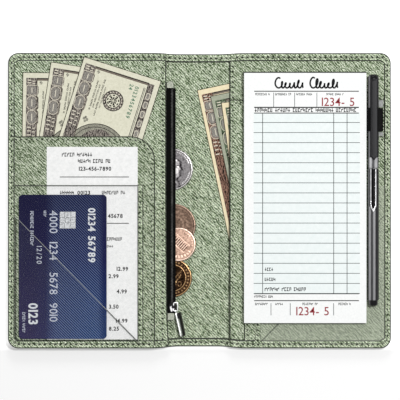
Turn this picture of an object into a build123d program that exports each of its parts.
"""Guest check presenter: two leather covers that fold like a book, lying open with the inner side up.

Millimetres. +X runs to the right cover, +Y to the top edge and +Z up from the table.
The origin is in the middle of the underside.
"""
from build123d import *
import math
import os

# Guest check pad, which sets the height of the covers
pad_width = 80.95
pad_length = 166.3
pad_to_hem = 8.0
pad_above_hem = 12.3
pad_clearance = 0.3
backing_thickness = 0.4
pad_sheets_thickness = 3.9
top_sheet_thickness = 0.1
binding_thickness = 0.8

# Covers
cover_length = 254.0
corner_radius = 7.0
skin_thickness = 0.8
board_thickness = 0.8
board_margin = 6.0
board_clearance = 0.1
lining_thickness = 0.4
panel_thickness = 0.5
sheet_gap = 0.05

# Fold between the covers
fold_x = -2.1
spine_width = 4.0
spine_gap = 0.15
spine_skin_thickness = 1.0
fold_to_board = 12.0
closing_gap = 0.65

# Hem round the inner side
hem_width = 4.7
gutter_hem_height = 0.6
hem_rise = 0.2
welt_width = 2.0

# Zip pocket on the left cover
zip_panel_right = -21.8
zip_tape_left_edge = -23.0
zip_tape_right_edge = -15.8
zip_centre = -18.2
zip_to_hem = 14.2
zip_end_length = 4.6
zip_end_width = 5.2
tape_thickness = 0.25
tooth_width = 0.75
tooth_length = 1.1
tooth_height = 0.6
tooth_pitch = 2.0
tooth_gap = 0.5

# Zip slider and its pull
slider_from_end = 4.1
slider_width = 4.0
slider_length = 6.0
slider_plate = 0.3
slider_top_plate = 0.4
slider_clearance = 0.15
slider_post_width = 0.3
crown_width = 0.6
crown_bar = 0.4
link_width = 3.6
link_length = 6.6
link_wire = 0.45
link_corner = 1.0
link_from_zip = 1.0
pull_clearance = 0.15
pull_sleeve_wall = 0.4
pull_sleeve_length = 0.9
pull_sleeve_shift = 0.3
pull_width = 3.7
pull_length = 16.0
pull_thickness = 0.9
pull_tilt = 12.0
pull_shift = 1.6

# Pockets over the zip pocket
bill_pocket_right = -29.5
pocket_height = 135.9
pocket_corner_radius = 16.5
bill_pocket_room = 1.0
window_height = 103.5
window_edge = -40.7
window_binding_right = -36.8
window_room = 1.1
window_thickness = 0.3
window_welt = 1.0
window_binding_rise = 0.1
flap_thickness = 0.25
flap_height = 83.3

# Pockets on the right cover, set out from the pad
pad_margin = 9.7
right_pocket_room = 1.1
slip_pocket_height = 160.3
slip_pocket_room = 0.9
top_hem_rise = 0.3
side_hem_rise = 0.3
pad_pocket_offset = -0.1
pad_pocket_thickness = 0.4
right_binding_offset = 7.0
right_window_offset = 11.2

# Pen and its loop
pen_radius = 3.65
pen_length = 153.1
pen_below_pad_top = 1.7
pen_clearance = 0.25
end_plug_length = 3.5
end_plug_radius = 2.9
cap_length = 55.0
cap_wall = 0.75
cap_round = 2.6
band_length = 7.4
band_radius = 3.35
neck_length = 36.8
neck_radius = 2.6
tip_length = 9.0
tip_radius = 0.5
refill_radius = 1.1
refill_clearance = 0.1
refill_to_plug = 8.0
inlay_length = 28.8
inlay_width = 4.6
inlay_point = 5.0
inlay_depth = 0.3
clip_length = 52.1
clip_width = 4.7
clip_point = 3.5
clip_thickness = 0.7
clip_root_length = 5.0
clip_from_top = 3.2
loop_thickness = 0.55
loop_clearance = 0.1
loop_below_pen_top = 22.2
loop_height = 15.5
loop_foot = 3.1
loop_to_hem = 0.45

# Card and receipt in the left window
card_to_hem = 2.7
card_below_window = 6.3
card_width = 58.1
card_height = 95.5
card_thickness = 0.76
card_corner = 2.5
chip_from_left = 27.1
chip_from_top = 11.3
chip_width = 10.4
chip_height = 11.0
chip_thickness = 0.2
chip_rise = 0.02
receipt_width = 60.25
receipt_length = 127.6
receipt_gap = 0.25
receipt_thickness = 0.1
receipt_bottom_gap = 0.3

# Banknotes: each top left corner, across from the left hem or the fold and up from the top hem
note_width = 53.8
note_length = 126.0
note_thickness = 0.15
left_note_corners = [(5.1, -8.2), (23.8, -1.2), (45.8, 2.2)]
left_note_tilts = [-0.7, -9.0, -17.6]
right_note_corners = [(0.4, -19.9), (9.2, -24.0), (16.4, -28.3)]
right_note_tilts = [12.0, 12.0, 8.0]

# Coins: centre in X from the fold, centre in Y, and radius
coin_thickness = 1.0
coin_rim = 0.9
coin_recess = 0.08
low_coins = {
    "silver_coin": (-16.3, 20.8, 14.0),
    "dark_copper_coin": (-14.8, -16.5, 14.4),
    "golden_coin": (-15.8, -51.3, 12.9),
}
high_coins = {
    "bright_copper_coin": (-11.7, -29.0, 11.3),
}

# Edges of the open presenter
cover_height = pad_length + pad_to_hem + pad_above_hem + 2 * hem_width
left_edge = -cover_length / 2
right_edge = cover_length / 2
top_edge = cover_height / 2
bottom_edge = -cover_height / 2
inner_left = left_edge + hem_width
inner_right = right_edge - hem_width
inner_top = top_edge - hem_width
inner_bottom = bottom_edge + hem_width
spine_left = fold_x - spine_width / 2
spine_right = fold_x + spine_width / 2
left_end = spine_left - spine_gap
right_start = spine_right + spine_gap

# Mouths of the pockets and ends of the zip
pocket_top = inner_bottom + pocket_height
window_top = inner_bottom + window_height
slip_pocket_top = inner_bottom + slip_pocket_height
zip_half_length = inner_top - zip_to_hem - zip_end_length
slider_y = slider_from_end - zip_half_length

# Places on the right cover, from the outer edge inwards
pen_x = inner_right - loop_to_hem - loop_foot - loop_clearance - pen_radius
pad_right = pen_x - pen_radius - loop_clearance - loop_thickness - pen_clearance
pad_left = pad_right - pad_width
right_pocket_left = pad_left - pad_margin
pad_pocket_left = pad_left + pad_pocket_offset
right_binding_left = pad_left + right_binding_offset
right_window_edge = pad_left + right_window_offset

# Places along the pad, the pen and the card
pad_top = inner_top - pad_to_hem
pad_bottom = pad_top - pad_length
pen_top = pad_top - pen_below_pad_top
pen_bottom = pen_top - pen_length
cap_bottom = pen_top - cap_length
barrel_top = cap_bottom - band_length
barrel_bottom = pen_bottom + end_plug_length
neck_top = barrel_top + neck_length
refill_bottom = barrel_bottom + refill_to_plug
refill_top = neck_top + tip_length / 4
inlay_bottom = barrel_top - inlay_length
clip_top = pen_top - clip_from_top
clip_bottom = clip_top - clip_length
loop_top = pen_top - loop_below_pen_top
card_left = inner_left + card_to_hem
card_top = window_top - card_below_window

# Heights shared by both covers
board_top = skin_thickness + board_thickness
floor = board_top + lining_thickness
gutter_hem_top = floor + gutter_hem_height

# Heights on the left cover
low_coin_bottom = floor + sheet_gap
high_coin_bottom = low_coin_bottom + coin_thickness + sheet_gap
slider_bottom = high_coin_bottom + coin_thickness + sheet_gap
tape_bottom = slider_bottom + slider_plate + slider_clearance + (tooth_height - tape_thickness) / 2
zip_panel_bottom = tape_bottom + tape_thickness
zip_panel_top = zip_panel_bottom + panel_thickness
left_hem_top = zip_panel_top + hem_rise
bill_panel_bottom = zip_panel_top + bill_pocket_room
bill_panel_top = bill_panel_bottom + panel_thickness
left_side_hem_top = bill_panel_top - hem_rise
window_bottom = bill_panel_top + window_room
left_window_top = window_bottom + window_thickness
left_top = left_window_top + flap_thickness

# Heights on the right cover
right_panel_bottom = floor + right_pocket_room
right_panel_top = right_panel_bottom + panel_thickness
right_hem_top = right_panel_top + top_hem_rise
slip_panel_bottom = right_panel_top + slip_pocket_room
slip_panel_top = slip_panel_bottom + panel_thickness
right_side_hem_top = slip_panel_top + side_hem_rise
pad_panel_top = slip_panel_top + pad_pocket_thickness
right_window_top = pad_panel_top + window_thickness
right_flap_top = right_window_top + flap_thickness
pad_backing_bottom = right_hem_top + sheet_gap
pad_sheets_bottom = right_flap_top + pad_clearance
pad_sheets_top = pad_sheets_bottom + pad_sheets_thickness
pen_z = right_flap_top + pen_clearance + pen_radius
loop_outer_top = pen_z + pen_radius + loop_clearance + loop_thickness
clip_bottom_z = loop_outer_top + loop_clearance
right_top = clip_bottom_z + clip_thickness
fold_height = (left_top + right_top + closing_gap) / 2


def block(x0, x1, y0, y1, z0, z1):
    """Box between two opposite corners."""
    return Pos((x0 + x1) / 2, (y0 + y1) / 2, (z0 + z1) / 2) * Box(x1 - x0, y1 - y0, z1 - z0)


def round_corners(solid, places, radius):
    """Round the upright edges of a plate that stand nearest to the given places."""
    for x, y in places:
        z = solid.bounding_box().center().Z
        edge = solid.edges().filter_by(Axis.Z).sort_by_distance((x, y, z))[0]
        solid = fillet(edge, radius)
    return solid


def half_outline(side, z0, z1):
    """Plate of one cover's full outline, with its two outer corners rounded."""
    if side == "left":
        plate = block(left_edge, left_end, bottom_edge, top_edge, z0, z1)
        return round_corners(plate, [(left_edge, top_edge), (left_edge, bottom_edge)], corner_radius)
    plate = block(right_start, right_edge, bottom_edge, top_edge, z0, z1)
    return round_corners(plate, [(right_edge, top_edge), (right_edge, bottom_edge)], corner_radius)


def board_block(side, spare):
    """Stiffening board of one cover, or its pocket when spare is above zero."""
    y0 = bottom_edge + board_margin - spare
    y1 = top_edge - board_margin + spare
    if side == "left":
        x0 = left_edge + board_margin - spare
        x1 = fold_x - fold_to_board + spare
    else:
        x0 = fold_x + fold_to_board - spare
        x1 = right_edge - board_margin + spare
    return block(x0, x1, y0, y1, skin_thickness, board_top)


def cover_layers(side):
    """Leather skin with a pocket for the board, the board and the lining over both."""
    skin = half_outline(side, 0, board_top) - board_block(side, board_clearance)
    return {
        side + "_cover_skin": skin,
        side + "_board": board_block(side, 0),
        side + "_lining": half_outline(side, board_top, floor),
    }


def left_hem():
    """Hem of the left cover: low in the gutter, higher where it holds the pockets."""
    arms = block(zip_panel_right, left_end, inner_top, top_edge, floor, gutter_hem_top)
    arms += block(zip_panel_right, left_end, bottom_edge, inner_bottom, floor, gutter_hem_top)
    arms += block(left_edge, zip_panel_right, inner_top, top_edge, floor, left_hem_top)
    arms += block(left_edge, zip_panel_right, bottom_edge, inner_bottom, floor, left_hem_top)
    arms += block(left_edge, inner_left, bottom_edge, top_edge, floor, left_hem_top)
    arms += block(left_edge, inner_left, bottom_edge, pocket_top, floor, left_side_hem_top)
    arms += block(left_edge, bill_pocket_right, bottom_edge, inner_bottom, floor, left_side_hem_top)
    return arms & half_outline("left", floor, left_side_hem_top)


def right_hem():
    """Hem of the right cover: low in the gutter and along the top, where the pad slides over it."""
    arms = block(right_start, right_pocket_left, inner_top, top_edge, floor, gutter_hem_top)
    arms += block(right_start, right_pocket_left, bottom_edge, inner_bottom, floor, gutter_hem_top)
    arms += block(right_pocket_left, right_edge, inner_top, top_edge, floor, right_hem_top)
    arms += block(inner_right, right_edge, slip_pocket_top, top_edge, floor, right_hem_top)
    arms += block(inner_right, right_edge, bottom_edge, slip_pocket_top, floor, right_side_hem_top)
    arms += block(right_pocket_left, right_edge, bottom_edge, inner_bottom, floor, right_side_hem_top)
    return arms & half_outline("right", floor, right_side_hem_top)


def spine_layers():
    """Narrow strip that turns half as far as the left cover: leather, stiffener, lining and two hem ends."""
    hem_ends = [
        block(spine_left, spine_right, inner_top, top_edge, floor, gutter_hem_top),
        block(spine_left, spine_right, bottom_edge, inner_bottom, floor, gutter_hem_top),
    ]
    return {
        "spine_skin": block(spine_left, spine_right, bottom_edge, top_edge, 0, spine_skin_thickness),
        "spine_stay": block(spine_left, spine_right, bottom_edge, top_edge, spine_skin_thickness, board_top),
        "spine_lining": block(spine_left, spine_right, bottom_edge, top_edge, board_top, floor),
        "spine_hem": Compound(children=hem_ends),
    }


def corner_flap(outer_x, corner_x, z0):
    """Triangle of clear sheet across the lower outer corner of a window."""
    flap_top = inner_bottom + flap_height
    outline = Polyline((outer_x, flap_top), (corner_x, inner_bottom), (outer_x, inner_bottom), close=True)
    return extrude(Pos(0, 0, z0) * make_face(outline), amount=flap_thickness, dir=(0, 0, 1))


def left_pockets():
    """Zip pocket, bill pocket over it and clear window over that."""
    bill_panel = block(inner_left, bill_pocket_right, inner_bottom, pocket_top, bill_panel_bottom, bill_panel_top)
    bill_panel = round_corners(bill_panel, [(bill_pocket_right, pocket_top)], pocket_corner_radius)
    bill_panel += block(
        bill_pocket_right - welt_width, bill_pocket_right,
        inner_bottom, pocket_top - pocket_corner_radius,
        zip_panel_top, bill_panel_bottom,
    )
    window = block(inner_left, window_edge, inner_bottom, window_top, window_bottom, left_window_top)
    window += block(inner_left, inner_left + window_welt, inner_bottom, window_top, bill_panel_top, window_bottom)
    window += block(inner_left, window_edge, inner_bottom, inner_bottom + window_welt, bill_panel_top, window_bottom)
    return {
        "zip_pocket_panel": block(
            inner_left, zip_panel_right, inner_bottom, inner_top, zip_panel_bottom, zip_panel_top
        ),
        "bill_pocket_panel": bill_panel,
        "left_window_pocket": window,
        "left_window_binding": block(
            window_edge, window_binding_right, inner_bottom, window_top,
            bill_panel_top, left_window_top + window_binding_rise,
        ),
        "left_corner_flap": corner_flap(inner_left, window_edge, left_window_top),
    }


def right_pockets():
    """Note pocket with its mouth at the gutter, slip pocket for the pad's backing, pad pocket and window."""
    slip_panel = block(
        right_pocket_left, inner_right, inner_bottom, slip_pocket_top, slip_panel_bottom, slip_panel_top
    )
    slip_panel += block(
        right_pocket_left, right_pocket_left + welt_width, inner_bottom, slip_pocket_top,
        right_panel_top, slip_panel_bottom,
    )
    pad_panel = block(pad_pocket_left, inner_right, inner_bottom, pocket_top, slip_panel_top, pad_panel_top)
    pad_panel = round_corners(pad_panel, [(pad_pocket_left, pocket_top)], pocket_corner_radius)
    return {
        "right_pocket_panel": block(
            right_pocket_left, inner_right, inner_bottom, inner_top, right_panel_bottom, right_panel_top
        ),
        "slip_pocket_panel": slip_panel,
        "pad_pocket_panel": pad_panel,
        "right_window_pocket": block(
            right_window_edge, inner_right, inner_bottom, window_top, pad_panel_top, right_window_top
        ),
        "right_window_binding": block(
            right_binding_left, right_window_edge, inner_bottom, window_top,
            pad_panel_top, right_window_top + window_binding_rise,
        ),
        "right_corner_flap": corner_flap(inner_right, right_window_edge, right_window_top),
    }


def zip_rows():
    """Two tapes with their rows of teeth, held at both ends by folded fabric tabs on the lining."""
    tooth_middle = tape_bottom + tape_thickness / 2
    tooth_z0 = tooth_middle - tooth_height / 2
    tooth_z1 = tooth_middle + tooth_height / 2
    left_inner = zip_centre - tooth_gap / 2 - tooth_width
    right_inner = zip_centre + tooth_gap / 2 + tooth_width
    tape_top = tape_bottom + tape_thickness
    count = int(2 * zip_half_length / tooth_pitch)
    start = -(count - 1) * tooth_pitch / 2
    left_teeth = []
    right_teeth = []
    for number in range(count):
        y0 = start + number * tooth_pitch - tooth_length / 2
        y1 = y0 + tooth_length
        left_teeth.append(block(left_inner, left_inner + tooth_width, y0, y1, tooth_z0, tooth_z1))
        right_teeth.append(block(right_inner - tooth_width, right_inner, y0, y1, tooth_z0, tooth_z1))
    end_x1 = zip_panel_right + zip_end_width
    end_y1 = zip_half_length + zip_end_length
    end_tab = block(zip_panel_right, end_x1, zip_half_length, end_y1, floor, left_hem_top)
    end_tab = round_corners(end_tab, [(end_x1, end_y1)], zip_end_width / 3)
    return {
        "zip_tape_left": block(
            zip_tape_left_edge, left_inner, -zip_half_length, zip_half_length, tape_bottom, tape_top
        ),
        "zip_tape_right": block(
            right_inner, zip_tape_right_edge, -zip_half_length, zip_half_length, tape_bottom, tape_top
        ),
        "zip_teeth_left": Compound(children=left_teeth),
        "zip_teeth_right": Compound(children=right_teeth),
        "zip_top_end": end_tab,
        "zip_bottom_end": mirror(end_tab, Plane.XZ),
    }


# Slider heights and the centre line of the link's inner limb, where the link turns
slider_top_z = tape_bottom + tape_thickness / 2 + tooth_height / 2 + slider_clearance
slider_deck = slider_top_z + slider_top_plate
link_axis_x = zip_centre + link_from_zip
link_z = slider_deck + pull_clearance + link_wire
link_y = slider_y
link_centre_x = link_axis_x + link_width / 2 - link_wire
pull_axis_y = link_y - link_length / 2 + link_wire


def zip_slider():
    """Two plates joined by a post between the rows of teeth, with a crown that traps the link."""
    x0 = zip_centre - slider_width / 2
    x1 = zip_centre + slider_width / 2
    y0 = slider_y - slider_length / 2
    y1 = slider_y + slider_length / 2
    crown_left = link_axis_x - link_wire - pull_clearance - crown_width
    crown_right = link_axis_x + link_wire + pull_clearance
    crown_y0 = slider_y - crown_width
    crown_y1 = slider_y + crown_width
    crown_z = link_z + link_wire + pull_clearance
    post_x0 = zip_centre - slider_post_width / 2
    post_x1 = zip_centre + slider_post_width / 2
    slider = block(x0, x1, y0, y1, slider_bottom, slider_bottom + slider_plate)
    slider += block(x0, x1, y0, y1, slider_top_z, slider_deck)
    slider += block(post_x0, post_x1, slider_y, y1, slider_bottom + slider_plate, slider_top_z)
    slider += block(crown_left, crown_left + crown_width, crown_y0, crown_y1, slider_deck, crown_z)
    slider += block(crown_right, crown_right + crown_width, crown_y0, crown_y1, slider_deck, crown_z)
    slider += block(crown_left, crown_right + crown_width, crown_y0, crown_y1, crown_z, crown_z + crown_bar)
    return slider


def pull_link():
    """Wire link: a rounded rectangle of round wire lying flat beside the slider."""
    half_x = link_width / 2 - link_wire
    half_y = link_length / 2 - link_wire
    path = Pos(link_centre_x, link_y, link_z) * RectangleRounded(2 * half_x, 2 * half_y, link_corner).wire()
    start = Plane(origin=(link_axis_x, link_y, link_z), z_dir=(0, 1, 0))
    return sweep(start * Circle(link_wire), path=path)


def pull_tab():
    """Flat pull bar that hangs from the link by a short sleeve."""
    bore = link_wire + pull_clearance
    sleeve_radius = bore + pull_sleeve_wall
    sleeve_x = link_centre_x + pull_sleeve_shift
    sleeve = Pos(sleeve_x, pull_axis_y, link_z) * Rot(0, 90, 0) * Cylinder(sleeve_radius, pull_sleeve_length)
    bar_z0 = link_z - pull_thickness / 2
    bar_z1 = link_z + pull_thickness / 2
    bar = block(-pull_width / 2, pull_width / 2, -pull_length, 0, bar_z0, bar_z1)
    bar = fillet(bar.edges().filter_by(Axis.Z), pull_width / 4)
    bar_top = pull_axis_y - sleeve_radius
    bar = Pos(link_centre_x + pull_shift, bar_top, 0) * Rot(0, 0, pull_tilt) * bar
    neck_half = pull_sleeve_length / 2
    neck = block(
        sleeve_x - neck_half, sleeve_x + neck_half,
        bar_top - pull_width / 2, pull_axis_y, bar_z0, bar_z1,
    )
    hole = Pos(link_centre_x, pull_axis_y, link_z) * Rot(0, 90, 0) * Cylinder(bore, 4 * pull_sleeve_length)
    return bar + neck + sleeve - hole


def guest_check_pad():
    """Pad of checks: backing board in the slip pocket, sheets in front of it, gummed together at the top."""
    gum_y = pad_top - binding_thickness
    top_sheet_z = pad_sheets_top + sheet_gap
    return {
        "pad_backing": block(
            pad_left, pad_right, pad_bottom, gum_y, pad_backing_bottom, pad_backing_bottom + backing_thickness
        ),
        "pad_sheets": block(pad_left, pad_right, pad_bottom, gum_y, pad_sheets_bottom, pad_sheets_top),
        "pad_top_sheet": block(
            pad_left, pad_right, pad_bottom, gum_y - sheet_gap, top_sheet_z, top_sheet_z + top_sheet_thickness
        ),
        "pad_binding": block(pad_left, pad_right, gum_y, pad_top, pad_backing_bottom, pad_sheets_top),
    }


def rod(radius, y0, y1):
    """Round bar on the pen's centre line."""
    return Pos(pen_x, (y0 + y1) / 2, pen_z) * Rot(90, 0, 0) * Cylinder(radius, y1 - y0)


def pen_cap():
    """Black cap with a domed end and a bore for the neck and tip."""
    cap = rod(pen_radius, cap_bottom, pen_top)
    cap = fillet(cap.edges().sort_by(Axis.Y)[-1], cap_round)
    return cap - rod(pen_radius - cap_wall, cap_bottom, neck_top + tip_length + cap_wall)


def pen_barrel():
    """Lower body of the pen with its neck, bored for the refill and cut back for the inlay."""
    barrel = rod(pen_radius, barrel_bottom, barrel_top)
    barrel += rod(neck_radius, barrel_top, neck_top)
    barrel -= rod(refill_radius + refill_clearance, refill_bottom, neck_top)
    return barrel - inlay_shape()


def inlay_shape():
    """Curved plate with a pointed lower end, let into the upper side of the barrel."""
    half = inlay_width / 2
    outline = Polyline(
        (-half, barrel_top), (half, barrel_top), (half, inlay_bottom + inlay_point),
        (0, inlay_bottom), (-half, inlay_bottom + inlay_point), close=True,
    )
    column = extrude(Pos(pen_x, 0, pen_z) * make_face(outline), amount=pen_radius, dir=(0, 0, 1))
    shell = rod(pen_radius, inlay_bottom, barrel_top) - rod(pen_radius - inlay_depth, inlay_bottom, barrel_top)
    return column & shell


def pen_tip():
    """Cone that closes the neck and holds the ball."""
    cone = Cone(neck_radius, tip_radius, tip_length)
    cone = Pos(pen_x, neck_top + tip_length / 2, pen_z) * Rot(-90, 0, 0) * cone
    return cone - rod(refill_radius + refill_clearance, neck_top, refill_top)


def pen_clip():
    """Pocket clip: a flat strap over the loop, pointed below, with a root on the cap above the loop."""
    half = clip_width / 2
    outline = Polyline(
        (-half, clip_top), (half, clip_top), (half, clip_bottom + clip_point),
        (0, clip_bottom), (-half, clip_bottom + clip_point), close=True,
    )
    strap = extrude(Pos(pen_x, 0, clip_bottom_z) * make_face(outline), amount=clip_thickness, dir=(0, 0, 1))
    root = block(
        pen_x - half, pen_x + half, clip_top - clip_root_length, clip_top, pen_z, clip_bottom_z
    )
    return strap + (root - rod(pen_radius, cap_bottom, pen_top))


def pen_pieces():
    """Capped ballpoint pen: cap with clip and band, and the barrel that pulls out of it."""
    band = rod(band_radius, barrel_top, cap_bottom) - rod(pen_radius - cap_wall, barrel_top, cap_bottom)
    plug = rod(end_plug_radius, pen_bottom, barrel_bottom)
    plug = fillet(plug.edges().sort_by(Axis.Y)[0], end_plug_radius / 3)
    return {
        "pen_cap": pen_cap(),
        "pen_cap_band": band,
        "pen_clip": pen_clip(),
        "pen_barrel": pen_barrel(),
        "pen_inlay": inlay_shape(),
        "pen_refill": rod(refill_radius, refill_bottom, refill_top),
        "pen_tip": pen_tip(),
        "pen_end_plug": plug,
    }


def pen_loop():
    """Elastic band that goes round the pen and is sewn down beside it."""
    inner_radius = pen_radius + loop_clearance
    outer_radius = inner_radius + loop_thickness
    foot_x = pen_x + inner_radius + loop_foot
    inner_floor = slip_panel_top + loop_thickness

    def ring(radius, x0, x1, z0):
        """Outline tight round the pen, the two foot corners and nothing else."""
        points = [
            Line((pen_x - radius, pen_z), (x0, z0)),
            Line((x0, z0), (x1, z0)),
        ]
        return make_hull(ShapeList([Pos(pen_x, pen_z) * Circle(radius).edge()] + points))

    outer = ring(outer_radius, pen_x - outer_radius, foot_x, slip_panel_top)
    inner = ring(inner_radius, pen_x - inner_radius, foot_x - 2 * loop_thickness, inner_floor)
    return extrude(Plane.XZ.offset(-loop_top) * (outer - inner), amount=loop_height)


def payment_card():
    """Card with a recess for its chip, and the chip."""
    card_z0 = bill_panel_top + 3 * sheet_gap + receipt_thickness
    card_z1 = card_z0 + card_thickness
    card = block(card_left, card_left + card_width, card_top - card_height, card_top, card_z0, card_z1)
    card = fillet(card.edges().filter_by(Axis.Z), card_corner)
    chip_z0 = card_z1 - chip_thickness
    chip_left = card_left + chip_from_left
    chip_top = card_top - chip_from_top
    chip_box = (chip_left, chip_left + chip_width, chip_top - chip_height, chip_top)
    return {
        "payment_card": card - block(*chip_box, chip_z0, card_z1),
        "card_chip": block(*chip_box, chip_z0, card_z1 + chip_rise),
    }


def receipt():
    """Till receipt behind the card."""
    z0 = bill_panel_top + sheet_gap
    x1 = window_edge - receipt_gap
    y0 = inner_bottom + window_welt + receipt_bottom_gap
    return block(x1 - receipt_width, x1, y0, y0 + receipt_length, z0, z0 + receipt_thickness)


def banknotes(side, start, corners, tilts, z_first):
    """Notes lying one on another, the first at the bottom, each turned about its top left corner."""
    notes = {}
    for number, ((x, y), tilt) in enumerate(zip(corners, tilts)):
        z0 = z_first + number * (note_thickness + sheet_gap)
        sheet = block(0, note_width, -note_length, 0, z0, z0 + note_thickness)
        notes[f"{side}_note_{number + 1}"] = Pos(start[0] + x, start[1] + y, 0) * Rot(0, 0, tilt) * sheet
    return notes


def coins(places, z0):
    """Coins with a raised rim, all with their underside at one height."""
    discs = {}
    for name, (from_fold, y, radius) in places.items():
        x = fold_x + from_fold
        disc = Pos(x, y, z0 + coin_thickness / 2) * Cylinder(radius, coin_thickness)
        recess_z = z0 + coin_thickness - coin_recess / 2
        discs[name] = disc - Pos(x, y, recess_z) * Cylinder(radius - coin_rim, coin_recess)
    return discs


pieces = {
    **cover_layers("left"),
    **cover_layers("right"),
    "left_hem": left_hem(),
    "right_hem": right_hem(),
    **spine_layers(),
    **left_pockets(),
    **right_pockets(),
    **zip_rows(),
    "zip_slider": zip_slider(),
    "zip_pull_link": pull_link(),
    "zip_pull_tab": pull_tab(),
    **guest_check_pad(),
    **pen_pieces(),
    "pen_loop": pen_loop(),
    **payment_card(),
    "receipt": receipt(),
    **banknotes("left", (inner_left, inner_top), left_note_corners, left_note_tilts, left_hem_top + sheet_gap),
    **banknotes("right", (fold_x, inner_top), right_note_corners, right_note_tilts, floor + sheet_gap),
    **coins(low_coins, low_coin_bottom),
    **coins(high_coins, high_coin_bottom),
}

os.makedirs("parts", exist_ok=True)
for node, solid in pieces.items():
    export_step(solid, f"parts/{node}.step")
